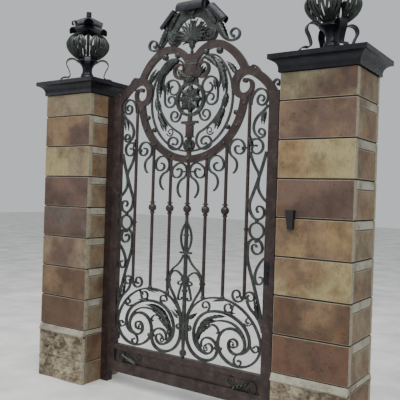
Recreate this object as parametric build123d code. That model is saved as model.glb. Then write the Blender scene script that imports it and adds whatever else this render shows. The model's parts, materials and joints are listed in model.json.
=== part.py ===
"""Wrought iron garden gate: one leaf of scrolled ironwork hung between two stone-clad pillars.

Millimetres. The origin is on the ground, midway between the pillars and at half their depth.
X runs to the right as seen from the street, Y runs into the garden and Z runs up.
"""

from build123d import *
import math
import os

os.makedirs("parts", exist_ok=True)

# Pillars
opening_width = 1618
pillar_width = 494
pillar_depth = 400
base_height = 420
base_proud = 20
base_ledge_height = 44
course_height = 240
full_courses = 7
top_course_height = 175
joint_width = 8
joint_depth = 5

# Pillar caps
cap_overhang = 64
cap_fillet_height = 16
cap_fillet_step = 12
cap_edge_height = 30
cap_flare_height = 60
cap_crown_height = 20
cap_crown_inset = 117

# Finials on the caps
finial_height = 576
strap_width = 50
strap_foot_width = 28
strap_thickness = 7
crown_tile_radius = 40
crown_tile_wall = 6
crown_tile_slope = 22
upper_tile_slope = 22

# Jambs
jamb_width = 70
jamb_depth = 60
jamb_front = 198
jamb_clearance = 13

# Leaf frame
leaf_gap = 20
leaf_front = 172
stile_width = 74
stile_depth = 40
leaf_bottom = 105
bottom_rail_height = 84
panel_height = 94
panel_rail_height = 39
panel_thickness = 8
stile_top = 2205

# Flat bands and forged bars
band_depth = 28
arch_width = 55
horseshoe_width = 54
bar_depth = 20
fine_bar_depth = 16
inner_ring_width = 13
picket_radius = 12
picket_ball_radius = 30
picket_ball_height = 1400
picket_cap_radius = 21
picket_cap_height = 10
collar_radius = 18
collar_height = 14
stem_drop = 90
seat = 0.3

# Hinges and lock
hinge_radius = 12
hinge_length = 60
hinge_gap = 0.5
hinge_setback = 70
hinge_lap = 22
lug_inset = 20
hinge_heights = (330, 1150, 2050)
lock_height = 1000
lock_inset = 51
lock_plate_width = 34
lock_plate_height = 150
lock_plate_thickness = 4
keyhole_boss_radius = 11
keyhole_boss_length = 8

# Wall lamp
lamp_height = 1310
lamp_tall = 118
lamp_top_width = 54
lamp_foot_width = 34
lamp_reach = 38
lamp_foot_reach = 22
lamp_offset = 105

# Worked out from the sizes above
half_opening = opening_width / 2
pillar_half_width = pillar_width / 2
pillar_half_depth = pillar_depth / 2
pillar_middle = half_opening + pillar_half_width
shaft_top = base_height + full_courses * course_height + top_course_height
cap_height = cap_fillet_height + cap_flare_height + cap_edge_height
cap_top = shaft_top + cap_height + cap_crown_height
jamb_height = shaft_top - jamb_clearance
jamb_inner = half_opening - jamb_width
leaf_half = jamb_inner - leaf_gap
inner_half = leaf_half - stile_width
panel_foot = leaf_bottom + bottom_rail_height
panel_top = panel_foot + panel_height
rail_top = panel_top + panel_rail_height
leaf_face = leaf_front - pillar_half_depth
leaf_middle = leaf_face + stile_depth / 2
leaf_back = leaf_face + stile_depth
jamb_face = jamb_front - pillar_half_depth
jamb_back = jamb_face + jamb_depth
hinge_x = -(leaf_half + jamb_inner) / 2
hinge_y = leaf_back + hinge_setback
leaf_plane = Plane(origin=(0, leaf_middle, 0), x_dir=(1, 0, 0), z_dir=(0, -1, 0))

# The ironwork is drawn for a leaf whose frame has this half width, foot and shoulder height
drawn_half, drawn_foot, drawn_shoulder = 645, 322, 2205
stretch_x = inner_half / drawn_half
stretch_z = (stile_top - rail_top) / (drawn_shoulder - drawn_foot)

# The finial is drawn for this height
drawn_finial = 576
finial_stretch = finial_height / drawn_finial


def write(name, *solids):
    """One named sub-part, which may be several solids."""
    export_step(Compound(list(solids)), f"parts/{name}.step")


def mirrored(shape):
    """The same shape on the other side of the gateway."""
    return mirror(shape, about=Plane.YZ)


def block(x, y, z):
    """A box between two values of each of x, y and z."""
    size = (x[1] - x[0], y[1] - y[0], z[1] - z[0])
    return Pos(x[0], y[0], z[0]) * Box(*size, align=(Align.MIN, Align.MIN, Align.MIN))


def on_leaf(x, z):
    """A point of the drawing, stretched to the leaf's own frame."""
    return Vector(x * stretch_x, rail_top + (z - drawn_foot) * stretch_z)


def trail(start, heading, arcs):
    """The centre line of a forged bar: its start, then the middle and end of each (radius, turn) arc.

    Headings and turns are in degrees, and a turn above zero bends to the left.
    """
    x, z = start
    angle = math.radians(heading)
    stations = [(x, z, angle)]
    for radius, turn in arcs:
        half_turn = math.radians(turn) / 2
        signed = math.copysign(radius, turn)
        for _ in range(2):
            x += signed * (math.sin(angle + half_turn) - math.sin(angle))
            z -= signed * (math.cos(angle + half_turn) - math.cos(angle))
            angle += half_turn
            stations.append((x, z, angle))
    return stations


def smooth_edges(points):
    """Arcs through each station's middle point, or straight lines where the three are in line."""
    edges = []
    for a, b, c in zip(points[::2], points[1::2], points[2::2]):
        bend = (b - a).cross(c - b).length
        flat = bend < 1e-3 * (c - a).length
        edges.append(Line(a, c) if flat else ThreePointArc(a, b, c))
    return edges


def outline(left, right):
    """The face between the two edges of a bar, given at the same stations."""
    edges = smooth_edges(left)
    edges.append(Line(left[-1], right[-1]))
    edges.extend(smooth_edges(right[::-1]))
    edges.append(Line(right[0], left[0]))
    return make_face(edges)


def bar(stations, widths, grow=0.0):
    """The face of a forged bar, whose width runs evenly through the widths given."""
    last = len(stations) - 1
    left = []
    right = []
    for index, (x, z, angle) in enumerate(stations):
        place = index / last * (len(widths) - 1)
        step = min(int(place), len(widths) - 2)
        width = widths[step] + (widths[step + 1] - widths[step]) * (place - step)
        across = Vector(-math.sin(angle) * stretch_z, math.cos(angle) * stretch_x).normalized()
        middle = on_leaf(x, z)
        left.append(middle + across * (width / 2 + grow))
        right.append(middle - across * (width / 2 + grow))
    return outline(left, right)


def eye(stations, radius):
    """The round end of a scroll."""
    x, z, _ = stations[-1]
    return disc(x, z, radius)


def scrolls(pieces, grow=0.0):
    """The faces of bars given as (centre line, widths, radius of the eye, or 0 for a plain end)."""
    faces = []
    for line, widths, end in pieces:
        faces.append(bar(line, widths, grow))
        if end:
            faces.append(eye(line, end + grow))
    return faces


def disc(x, z, radius):
    """A round boss or ball of the drawing, in the leaf's plane."""
    centre = on_leaf(x, z)
    return Pos(centre.X, centre.Y) * Circle(radius)


def rect(x, z):
    """A rectangle of the leaf's plane between two values of x and of z."""
    return Pos((x[0] + x[1]) / 2, (z[0] + z[1]) / 2) * Rectangle(x[1] - x[0], z[1] - z[0])


def raised(z):
    """A height of the drawing, as a height of the leaf."""
    return on_leaf(0, z).Y


def forge(faces, depth, cutters=()):
    """The faces joined into one and given their depth about the leaf's middle plane."""
    flat = Sketch() + list(faces)
    if cutters:
        flat = flat - list(cutters)
    return extrude(leaf_plane * flat, depth / 2, both=True).solids()


def both_sides(faces):
    """Faces of the right half with their mirror images."""
    return [*faces, *[mirrored(face) for face in faces]]


# Pillars: a rough base block, then courses of slabs with recessed joints
def pillar_base():
    """Sides in line with the shaft's; front and back stand proud and slope in at the top."""
    proud = pillar_half_depth + base_proud
    ledge = base_height - base_ledge_height
    corners = [
        (-proud, 0),
        (proud, 0),
        (proud, ledge),
        (pillar_half_depth, base_height),
        (-pillar_half_depth, base_height),
        (-proud, ledge),
    ]
    side = make_face(Polyline(*corners, close=True))
    return Pos(pillar_middle, 0, 0) * extrude(Plane.YZ * side, pillar_half_width, both=True)


def pillar_shaft():
    sides = (half_opening, half_opening + pillar_width)
    depth = (-pillar_half_depth, pillar_half_depth)
    shaft = block(sides, depth, (base_height, shaft_top))
    core = block(
        (sides[0] + joint_depth, sides[1] - joint_depth),
        (depth[0] + joint_depth, depth[1] - joint_depth),
        (base_height, shaft_top),
    )
    for course in range(1, full_courses + 1):
        joint = base_height + course * course_height
        groove = block(sides, depth, (joint - joint_width / 2, joint + joint_width / 2))
        shaft -= groove - core
    return shaft


def cap_profile(half_shaft):
    """Outline of the cap over a shaft of this half width: fillet, hollow flare, flat edge and low crown."""
    foot = half_shaft + cap_fillet_step
    edge = half_shaft + cap_overhang
    crown = half_shaft - cap_crown_inset
    flare_foot = shaft_top + cap_fillet_height
    flare_top = flare_foot + cap_flare_height
    hollow = Vector(foot + (edge - foot) * 0.3, flare_foot + cap_flare_height * 0.7)
    right = [
        Line((0, shaft_top), (foot, shaft_top)),
        Line((foot, shaft_top), (foot, flare_foot)),
        ThreePointArc((foot, flare_foot), hollow, (edge, flare_top)),
        Line((edge, flare_top), (edge, shaft_top + cap_height)),
        Line((edge, shaft_top + cap_height), (crown, cap_top)),
        Line((crown, cap_top), (0, cap_top)),
        Line((0, cap_top), (0, shaft_top)),
    ]
    half = make_face(right)
    return half + mirrored(half)


def cap_solid():
    """One moulding run along both pairs of sides and mitred at the corners, about the Z axis."""
    reach = pillar_half_width + cap_overhang
    along_y = extrude(Plane.XZ * cap_profile(pillar_half_width), reach, both=True)
    along_x = extrude(Plane.YZ * cap_profile(pillar_half_depth), reach, both=True)
    return along_y & along_x


pillar_cap = Pos(pillar_middle, 0, 0) * cap_solid()
write("right_pillar_base", pillar_base())
write("left_pillar_base", mirrored(pillar_base()))
write("right_pillar_shaft", pillar_shaft())
write("left_pillar_shaft", mirrored(pillar_shaft()))
write("right_pillar_cap", pillar_cap)
write("left_pillar_cap", mirrored(pillar_cap))


# Finials: a drum with a bell top, four scrolled straps, a cage of petals and two rings of rolled tiles
def on_finial(reach, height):
    """A point of the finial's drawing, given from its axis and from the cap's top."""
    return Vector(reach * finial_stretch, cap_top + height * finial_stretch)


def turned(left, right):
    """A ring turned about the finial's axis, between two edges of (reach, height) points."""
    return revolve(Plane.XZ * outline(left, right), Axis.Z)


def turned_corners(corners):
    """A solid turned about the finial's axis from (reach, height) corners."""
    points = [on_finial(*corner) for corner in corners]
    return revolve(Plane.XZ * make_face(Polyline(*points, close=True)), Axis.Z)


rim_reach = 85
rim_foot = 166
rim_top = 176
cup_top = rim_top + 9
bell_foot = 84
bell = [on_finial(*point) for point in ((40, bell_foot), (50, 136), (rim_reach, rim_foot))]
bell_axis = [on_finial(0, height) for height in (bell_foot, 136, rim_foot)]
drum_corners = [
    (0, 0),
    (56, 0),
    (56, 12),
    (44, 18),
    (50, 30),
    (53, 46),
    (50, 62),
    (42, 76),
    (40, bell_foot),
    (0, bell_foot),
]


def finial_drum():
    """A stepped foot, a swelling drum and a bell that flares to a thick rim."""
    drum = turned_corners(drum_corners)
    rim = turned_corners([(0, rim_foot), (rim_reach, rim_foot), (rim_reach, rim_top), (0, rim_top)])
    return drum + turned(bell_axis, bell) + rim


def finial_straps():
    """Four straps on the pillar's diagonals, from the rim out, down and round to the cap."""
    line = trail((84, 172), 46, [(54, -65), (42, -102), (226, 17), (24, 114), (44, -74), (300, -2)])
    left = []
    right = []
    for reach, height, angle in line:
        across = Vector(-math.sin(angle), math.cos(angle)) * (strap_thickness / 2)
        left.append(on_finial(reach, height) + across)
        right.append(on_finial(reach, height) - across)
    side = extrude(Plane.XZ * outline(left, right), strap_width, both=True)
    taper = [
        (-strap_foot_width / 2, cap_top - strap_width),
        (strap_foot_width / 2, cap_top - strap_width),
        (strap_width / 2, cap_top + finial_height / 3),
        (-strap_width / 2, cap_top + finial_height / 3),
    ]
    front = extrude(Plane.YZ * make_face(Polyline(*taper, close=True)), finial_height, both=True)
    drum_reach = rim_reach * finial_stretch + seat
    drum_space = Pos(0, 0, cap_top) * Cylinder(drum_reach, finial_height)
    cap_space = Pos(0, 0, seat) * cap_solid()
    straps = []
    for place in PolarLocations(0, 4, start_angle=45):
        strap = place * (side & front) - drum_space - cap_space
        straps.append(strap.solids().sort_by(SortBy.VOLUME)[-1])
    return straps


def finial_cage():
    """A tulip of four slit petals on a cup, open between them on the pillar's diagonals."""
    outer = [on_finial(*point) for point in ((60, rim_top), (128, 220), (180, 292), (170, 340), (124, 376))]
    inner = [on_finial(*point) for point in ((52, rim_top), (123, 225), (174, 292), (164, 337), (118, 373))]
    cup = turned_corners([(0, rim_top), (58, rim_top), (58, cup_top), (0, cup_top)])
    cage = turned(outer, inner) + cup
    between = [(0, 200), (17, 248), (28, 300), (45, 345), (66, 380), (66, 400), (0, 400)]
    half_gap = make_face(Polyline(*[on_finial(*point) for point in between], close=True))
    gap = extrude(Plane.YZ * (half_gap + mirrored(half_gap)), finial_height, both=True)
    slit_side = make_face(
        Polyline(on_finial(90, 236), on_finial(240, 236), on_finial(240, 358), on_finial(90, 358), close=True)
    )
    slit = extrude(Plane.XZ * slit_side, 4 * finial_stretch, both=True)
    cage -= Rot(0, 0, 45) * gap
    cage -= Rot(0, 0, 135) * gap
    for place in PolarLocations(0, 4):
        for turn in (-14, 14):
            cage -= place * Rot(0, 0, turn) * slit
    return Pos(0, 0, seat) * cage


def rolled_tile(length):
    """A sheet rolled like a ridge tile, along X with its back upward."""
    radius = crown_tile_radius * finial_stretch
    outer = Circle(radius) - Circle(radius - crown_tile_wall)
    lower = Pos(0, -radius * 0.75) * Rectangle(3 * radius, radius)
    return extrude(Plane.YZ * (outer - lower), length * finial_stretch / 2, both=True)


def finial_crown():
    """A stem from the cage's floor to a knob, with two rings of rolled tiles that slope down round it."""
    knob_foot = drawn_finial - 36
    rod = turned_corners([(0, cup_top), (12, cup_top), (12, knob_foot), (0, knob_foot)])
    knob = turned_corners([(0, knob_foot), (21, knob_foot), (21, drawn_finial), (0, drawn_finial)])
    crown = rod + knob
    lower_place = on_finial(82, 410)
    upper_place = on_finial(48, 482)
    lower_tile = Pos(lower_place.X, 0, lower_place.Y) * Rot(0, crown_tile_slope, 0) * rolled_tile(190)
    upper_tile = Pos(upper_place.X, 0, upper_place.Y) * Rot(0, upper_tile_slope, 0) * rolled_tile(120)
    for place in PolarLocations(0, 4):
        crown += place * lower_tile
    for place in PolarLocations(0, 4, start_angle=45):
        crown += place * upper_tile
    return Pos(0, 0, 2 * seat) * crown


for name, solids in (
    ("finial_drum", [finial_drum()]),
    ("finial_straps", finial_straps()),
    ("finial_cage", [finial_cage()]),
    ("finial_crown", [finial_crown()]),
):
    placed = [Pos(pillar_middle, 0, 0) * solid for solid in solids]
    write(f"right_{name}", *placed)
    write(f"left_{name}", *[mirrored(solid) for solid in placed])


# Jambs: square steel posts against the pillars
def jamb():
    return block((jamb_inner, half_opening), (jamb_face, jamb_back), (0, jamb_height))


write("right_jamb", jamb())
write("left_jamb", mirrored(jamb()))


# Wall lamp: a wedge that is wider and deeper at its top, on the street face of the right pillar
def wall_lamp():
    face = -pillar_half_depth
    foot = Plane(origin=(half_opening + lamp_offset, face, lamp_height), z_dir=(0, 0, 1))
    top = Plane(origin=(half_opening + lamp_offset, face, lamp_height + lamp_tall), z_dir=(0, 0, 1))
    low = foot * Pos(0, -lamp_foot_reach / 2) * Rectangle(lamp_foot_width, lamp_foot_reach)
    high = top * Pos(0, -lamp_reach / 2) * Rectangle(lamp_top_width, lamp_reach)
    return loft([low.face(), high.face()])


write("wall_lamp", wall_lamp())


# Leaf frame
def stile():
    return block((inner_half, leaf_half), (leaf_face, leaf_back), (leaf_bottom, stile_top))


def rail(foot, top):
    return block((-inner_half, inner_half), (leaf_face, leaf_back), (foot, top))


def kick_panel():
    half = panel_thickness / 2
    depth = (leaf_middle - half, leaf_middle + half)
    return block((-inner_half, inner_half), depth, (panel_foot, panel_top))


write("right_stile", stile())
write("left_stile", mirrored(stile()))
write("bottom_rail", rail(leaf_bottom, panel_foot))
write("panel_rail", rail(panel_top, rail_top))
write("kick_panel", kick_panel())

# Main lines of the pattern, on the right half of the drawing
picket_places = (158, 321)
outer_bar_place = 493
horseshoe_middle = 2208
horseshoe_radius = 448
horseshoe = [
    (
        trail((447, 2180), -93.6, [(horseshoe_radius, -86.4), (horseshoe_radius, -86.4)]),
        (horseshoe_width, horseshoe_width),
        0,
    )
]
arches = [
    (
        trail((454, 2358), 112, [(375, 39), (188, 82), (101, 71), (58, 130), (46, 119), (32, 119)]),
        (arch_width, arch_width, arch_width * 0.9, 30, 20, 14, 10),
        10,
    )
]
shoulder = [
    (
        trail((676, 2185), 117, [(358, 39), (92, 120), (82, 41), (64, 145), (38, 105)]),
        (58, 58, 56, 44, 26, 14),
        16,
    )
]
shoulder_curls = [
    (trail((566, 2328), 104, [(90, 42), (24, 170)]), (15, 12, 9), 13),
    (trail((655, 2235), 75, [(70, -40), (18, -190)]), (15, 11, 8), 9),
]
inner_ring = [
    (trail((0, 1818), 0, [(352, 66), (398, 67), (118, 101)]), (inner_ring_width, inner_ring_width), 0)
]
ring_balls = ((238, 2518, 24), (125, 2522, 22), (387, 2078, 18), (322, 1981, 18))

# Room that the frame and the bands take up, with a seat, in the pieces that meet them
frame_cut = [
    rect((inner_half - seat, leaf_half), (0, stile_top + seat)),
    rect((-leaf_half, -inner_half + seat), (0, stile_top + seat)),
    rect((-leaf_half, leaf_half), (0, rail_top + seat)),
]
medallion_radius = 126
medallion_width = 21
medallion_centre = on_leaf(0, 2194)
neck_corners = (
    (0, 2522),
    (40, 2522),
    (42, 2480),
    (50, 2450),
    (50, 2440),
    (34, 2400),
    (36, 2362),
    (60, 2332),
    (60, 2270),
)


def medallion_disc(radius):
    return Pos(medallion_centre.X, medallion_centre.Y) * Circle(radius)


def heart_neck(grow=0.0):
    """The right half of the plate that joins the heart arches and stands on the medallion."""
    corners = [on_leaf(x, z) + Vector(grow if x else 0, 0) for x, z in neck_corners]
    corners[0] += Vector(0, grow)
    corners[1] += Vector(0, grow)
    face = make_face(Polyline(*corners, Vector(0, corners[-1].Y), close=True))
    return face - medallion_disc(medallion_radius + seat)


shoulder_cut = both_sides(scrolls([*shoulder, *shoulder_curls], seat))
arch_cut = both_sides([*scrolls(arches, seat), heart_neck(seat)])
horseshoe_cut = scrolls(horseshoe, seat)
band_cut = [*shoulder_cut, *arch_cut, *horseshoe_cut]
inner_ring_cut = both_sides(scrolls(inner_ring, seat))

shoulder_solids = forge(scrolls([*shoulder, *shoulder_curls]), band_depth, frame_cut)
write("right_shoulder", *shoulder_solids)
write("left_shoulder", *[mirrored(solid) for solid in shoulder_solids])
write("horseshoe_band", *forge(scrolls(horseshoe), band_depth, shoulder_cut))
write("heart_arches", *forge(both_sides([*scrolls(arches), heart_neck()]), band_depth, shoulder_cut))

# Ring column, from the horseshoe's inner edge up to the medallion
column_half = 13
column_box_half = 28
column_plate_half = 70
rosette_radius = 45
column_top = medallion_centre.Y - medallion_radius - seat


def ring_column(grow=0.0):
    """A post with a wider box, a plate under the medallion and a round rosette at its foot."""
    post = column_half + grow
    box = column_box_half + grow
    plate = column_plate_half + grow
    return [
        rect((-post, post), (raised(1770), column_top)),
        rect((-box, box), (raised(1925) - grow, raised(2005) + grow)),
        rect((-plate, plate), (raised(2017) - grow, raised(2035) + grow)),
        disc(0, 1861, rosette_radius + grow),
    ]


ring_faces = [*scrolls(inner_ring), *[disc(x, z, radius) for x, z, radius in ring_balls]]
write("ring_column", *forge(ring_column(), band_depth, horseshoe_cut))
column_cut = ring_column(seat)
write("inner_ring", *forge(both_sides(ring_faces), fine_bar_depth, [*band_cut, *column_cut]))


# Medallion: a ring that frames a rosette of eight petals
def petal(reach, share=0.2):
    """A pointed petal from the origin upward, its half width the given share of its reach."""
    side = ThreePointArc((0, 0), (reach * share, reach * 0.55), (0, reach))
    half_face = make_face([side, Line((0, reach), (0, 0))])
    return half_face + mirrored(half_face)


petal_reach = medallion_radius - medallion_width - seat
petals = [
    Pos(medallion_centre.X, medallion_centre.Y) * place * petal(petal_reach) for place in PolarLocations(0, 8)
]
ring_face = medallion_disc(medallion_radius) - medallion_disc(medallion_radius - medallion_width)
write("medallion_ring", *forge([ring_face], band_depth))
write("medallion_rosette", *forge([*petals, medallion_disc(32)], fine_bar_depth))
medallion_cut = [medallion_disc(medallion_radius + seat)]

# Lyre scrolls and the small volutes round the medallion
lyre = [
    (
        trail((304, 2230), -100, [(375, -54), (67, 203), (41, 134), (52, 43), (24, 177)]),
        (12, 14, 13, 9),
        9,
    ),
    (trail((304, 2230), 85, [(318, 18), (238, 45), (92, 39), (91, 43)]), (12, 12, 8), 0),
    (trail((238, 2262), 66, [(140, 39), (259, 18), (110, 43)]), (9, 10, 7), 0),
    (trail((234, 2236), 92, [(900, 3), (66, 160), (48, 130), (32, 130)]), (12, 13, 12, 8), 8),
    (trail((234, 2236), -91, [(900, -3), (48, -160), (35, -130), (23, -130)]), (12, 13, 12, 8), 7),
    (trail((78, 2100), -78, [(200, 12), (42, 170), (31, 130), (21, 120)]), (12, 12, 8), 7),
]
lyre_limits = [*band_cut, *inner_ring_cut, *medallion_cut, *column_cut]
write("lyre_scrolls", *forge(both_sides(scrolls(lyre)), fine_bar_depth, lyre_limits))


# Pickets: round bars, the inner five with a ball between two collars
def picket(x, foot, top, beads):
    """A round bar from foot to top, with (height, radius, half height) collars and balls turned on it."""
    centre = Pos(x * stretch_x, leaf_middle, foot)
    rod = centre * Cylinder(picket_radius, top - foot, align=(Align.CENTER, Align.CENTER, Align.MIN))
    for height, radius, half in beads:
        bead = Cylinder(radius, 2 * half) if half else Sphere(radius)
        rod += Pos(x * stretch_x, leaf_middle, height) * bead
    return rod


def solid_of(faces):
    """The space that bands take up, for fitting round bars to them."""
    return Part() + forge(faces, band_depth + 2 * picket_radius)


horseshoe_space = solid_of(horseshoe_cut)
shoulder_space = solid_of(scrolls(shoulder, seat))
great_spiral = [
    (
        trail(
            (17, 560),
            85,
            [
                (249, -70),
                (351, -85),
                (158, -75),
                (183, -79),
                (119, -76),
                (108, -135),
                (71, -120),
                (55, -102),
                (36, -116),
                (26, -140),
            ],
        ),
        (12, 13, 14, 17, 18, 17, 15, 12, 8),
        8,
    )
]
spiral_space = solid_of(scrolls(great_spiral, seat))
ball_z = raised(picket_ball_height)
ball_beads = (
    (ball_z, picket_ball_radius, 0),
    (ball_z + picket_ball_radius + picket_cap_height, picket_cap_radius, picket_cap_height / 2),
    (ball_z - picket_ball_radius - collar_height / 2, collar_radius, collar_height / 2),
)
low_collar = (raised(872), collar_radius, collar_height / 2)
stem_top = picket_ball_height - stem_drop
picket_rows = (
    (0, raised(stem_top), ball_beads),
    (picket_places[0], raised(775), (*ball_beads, low_collar)),
    (picket_places[1], raised(740), ball_beads),
)


def picket_top(place):
    """The height of the horseshoe's middle line over a picket."""
    return raised(horseshoe_middle - math.sqrt(horseshoe_radius**2 - place**2))


def picket_outline(place, foot, beads):
    """What a picket takes up in the leaf's plane, with its collars and seats."""
    middle = place * stretch_x
    half = picket_radius + seat
    faces = [rect((middle - half, middle + half), (foot - seat, picket_top(place)))]
    for height, radius, half_height in beads:
        reach = radius + seat
        tall = (half_height or radius) + seat
        faces.append(rect((middle - reach, middle + reach), (height - tall, height + tall)))
    return faces


pickets = []
picket_cut = []
for place, foot, beads in picket_rows:
    rod = picket(place, foot, picket_top(place), beads) - horseshoe_space
    if place == picket_places[1]:
        rod -= spiral_space
    longest = rod.solids().sort_by(SortBy.VOLUME)[-1]
    clear_foot = longest.bounding_box().min.Z
    if place == picket_places[1]:
        clear_foot += 2 * picket_radius
    faces = picket_outline(place, clear_foot, beads)
    pickets.append(longest)
    picket_cut.extend(faces)
    if place:
        pickets.append(mirrored(longest))
        picket_cut.extend([mirrored(face) for face in faces])
write("pickets", *pickets)

outer_bar_foot = raised(812)
outer_bar_end = raised(2208)
outer_bar_collar = (raised(1281), collar_radius, collar_height / 2)
outer_bar = picket(outer_bar_place, outer_bar_foot, outer_bar_end, [outer_bar_collar]) - shoulder_space
write("outer_bars", outer_bar.solid(), mirrored(outer_bar.solid()))
outer_x = outer_bar_place * stretch_x
outer_half = picket_radius + seat
collar_reach = collar_radius + seat
collar_tall = collar_height / 2 + seat
outer_bar_cut = both_sides(
    [
        rect((outer_x - outer_half, outer_x + outer_half), (outer_bar_foot - seat, outer_bar_end)),
        rect(
            (outer_x - collar_reach, outer_x + collar_reach),
            (outer_bar_collar[0] - collar_tall, outer_bar_collar[0] + collar_tall),
        ),
    ]
)

# Scrolls hanging under the horseshoe, tied at the centre and to the outer bars
hanging_widths = (9, 12, 12, 11, 8)
hanging = [
    (trail((61, 1483), 39, [(82, 115), (59, -182), (176, -13), (44, -232), (22, -140)]), hanging_widths, 7),
    (trail((222, 1536), 32, [(71, 127), (55, -25), (64, -228), (42, -145), (23, -125)]), hanging_widths, 7),
    (trail((378, 1660), 35, [(66, 114), (67, -106), (59, -145), (38, -161), (20, -120)]), hanging_widths, 7),
]
hanging_ties = [
    rect((0, 45 * stretch_x), (raised(1664), raised(1676))),
    rect((450 * stretch_x, outer_x), (raised(1827), raised(1839))),
]
hanging_limits = [*band_cut, *picket_cut, *outer_bar_cut, *frame_cut]
write(
    "hanging_scrolls",
    *forge(both_sides([*scrolls(hanging), *hanging_ties]), bar_depth, hanging_limits),
)

# Lower scrollwork: the great spiral, the scroll that crosses it, the centre scroll and their curls
lower = [
    *great_spiral,
    (trail((35, 610), -99, [(590, 12), (156, 100), (94, 48), (76, 132), (53, 103)]), (14, 18, 20, 14, 10), 0),
    (
        trail((465, 432), 1, [(82, 95), (164, 47), (302, 52), (177, 84), (119, 74), (54, 63), (31, 189)]),
        (18, 18, 18, 16, 8),
        8,
    ),
    (trail((508, 520), 104, [(154, 66), (242, 42)]), (16, 12, 8), 0),
    (trail((165, 398), 141, [(144, -33), (85, -49)]), (14, 16, 10), 7),
    (trail((300, 545), 88, [(51, 71), (49, 72)]), (8, 10, 12), 7),
    (trail((425, 768), -140, [(61, 45), (31, -280), (19, -90)]), (9, 8, 6), 7),
    (trail((495, 642), -39, [(43, 86), (23, 211), (14, 112)]), (9, 8, 6), 7),
    (trail((545, 530), -92, [(76, 54), (25, 153), (17, 142)]), (9, 8, 6), 7),
    (trail((470, 432), -164, [(59, 70), (29, 156), (15, 140)]), (9, 8, 6), 7),
    (trail((200, 685), 45, [(68, 29), (30, 186), (18, 151)]), (9, 8, 6), 7),
    (trail((515, 806), -77, [(133, 39), (210, -42)]), (12, 14, 14), 0),
    (trail((489, 817), -106, [(45, -135), (38, -82), (28, -110), (21, -106)]), (12, 11, 7), 8),
    (trail((489, 817), 75, [(64, -45), (37, -73), (29, -160), (20, -102)]), (12, 11, 7), 8),
]

# Centre stem: ball, teardrop and collars, with looped sprays and a cage over them
stem_tip = 16
cage_foot = 1086
cage_turn = 80
cage_rise = stem_top - stem_tip - cage_foot
cage_radius = cage_rise / (2 * math.sin(math.radians(cage_turn / 2)))
cage_collar = cage_foot + 0.6 * cage_rise
stem_collars = (
    (528, 542, 42),
    (798, 816, 20),
    (884, 902, 34),
    (1076, 1090, 50),
    (cage_collar - 6, cage_collar + 6, 20),
)
stem_line = ((8, drawn_foot), (8, 345), (8, 380), (14, 528), (12, 560), (11, stem_top))
stem_scrolls = [
    (trail((0, 545), -48, [(61, 47), (18, 172), (12, 152)]), (10, 8, 6), 6),
    (trail((14, 600), 69, [(967, -14), (101, 73), (46, 85), (202, 19)]), (12, 12, 10), 0),
    (trail((150, 872), 93, [(132, 53), (183, -37)]), (9, 9), 0),
    (trail((10, 884), -58, [(330, -24), (16, -200)]), (9, 8, 6), 5),
    (trail((14, 882), -8, [(150, -16), (12, -200)]), (8, 7, 5), 5),
    (trail((8, cage_foot), 90 - cage_turn / 2, [(cage_radius, cage_turn)]), (9, 9), 0),
]


def centre_stem(grow=0.0):
    """Outline of the right half of the stem."""
    edge = [on_leaf(x, z) + Vector(grow, 0) for x, z in stem_line]
    corners = [Vector(0, edge[0].Y), *edge, Vector(0, edge[-1].Y)]
    faces = [make_face(Polyline(*corners, close=True)), disc(0, 356, 25 + grow)]
    for foot, top, half in stem_collars:
        faces.append(rect((0, half * stretch_x + grow), (raised(foot) - grow, raised(top) + grow)))
    return faces


stem_faces = both_sides([*centre_stem(), *scrolls(stem_scrolls)])
write("centre_stem", *forge(stem_faces, bar_depth, [*frame_cut, *picket_cut]))
stem_cut = both_sides([*centre_stem(seat), *scrolls(stem_scrolls, seat)])

lower_solids = forge(scrolls(lower), bar_depth, [*frame_cut, *picket_cut, *outer_bar_cut, *stem_cut])
write("right_lower_scrolls", *lower_solids)
write("left_lower_scrolls", *[mirrored(solid) for solid in lower_solids])
lower_cut = scrolls(lower, seat)

# Side columns between the outer bar and the stile
side_column = [
    (
        trail(
            (638, 647),
            103,
            [(3200, 7), (316, -28), (54, -130), (67, -36), (40, -190), (22, -59), (16, -105)],
        ),
        (16, 16, 15, 13, 10, 8),
        7,
    ),
    (trail((640, 1099), -139, [(211, 34), (96, 36), (25, 93), (33, 69), (17, 104)]), (14, 13, 8), 7),
    (
        trail(
            (630, 1806),
            -104,
            [(2029, -9.5), (110, 68), (63, 1), (48, 137), (42, 68), (29, 11), (22, 154)],
        ),
        (16, 16, 14, 12, 9),
        7,
    ),
    (trail((507, 1806), -76, [(393, 21), (73, -50), (110, 46), (196, 24)]), (14, 14), 0),
    (trail((500, 1795), 116, [(77, -47), (55, -134), (49, -92), (41, -84), (24, -142)]), (14, 13, 9), 8),
    (trail((632, 2115), -123, [(186, -23), (125, 41), (77, 79), (30, 188), (19, 196)]), (13, 14, 12, 8), 7),
    (
        trail((503, 2120), 95, [(116, -46), (55, -125), (64, -52), (36, -179), (25, -110), (18, -102)]),
        (13, 13, 9),
        7,
    ),
]
ring_middle = (574, 1275)
ring_outer = 60
ring_bead = 12
bead_lift = ring_outer + ring_bead - 3
side_faces = [
    *scrolls(side_column),
    disc(*ring_middle, ring_outer) - disc(*ring_middle, ring_outer - 12),
    disc(ring_middle[0], ring_middle[1] + bead_lift, ring_bead),
    disc(ring_middle[0], ring_middle[1] - bead_lift, ring_bead),
]
side_limits = [*frame_cut, *outer_bar_cut, *shoulder_cut, *lower_cut]
side_solids = forge(side_faces, bar_depth, side_limits)
write("right_side_scrolls", *side_solids)
write("left_side_scrolls", *[mirrored(solid) for solid in side_solids])

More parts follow.
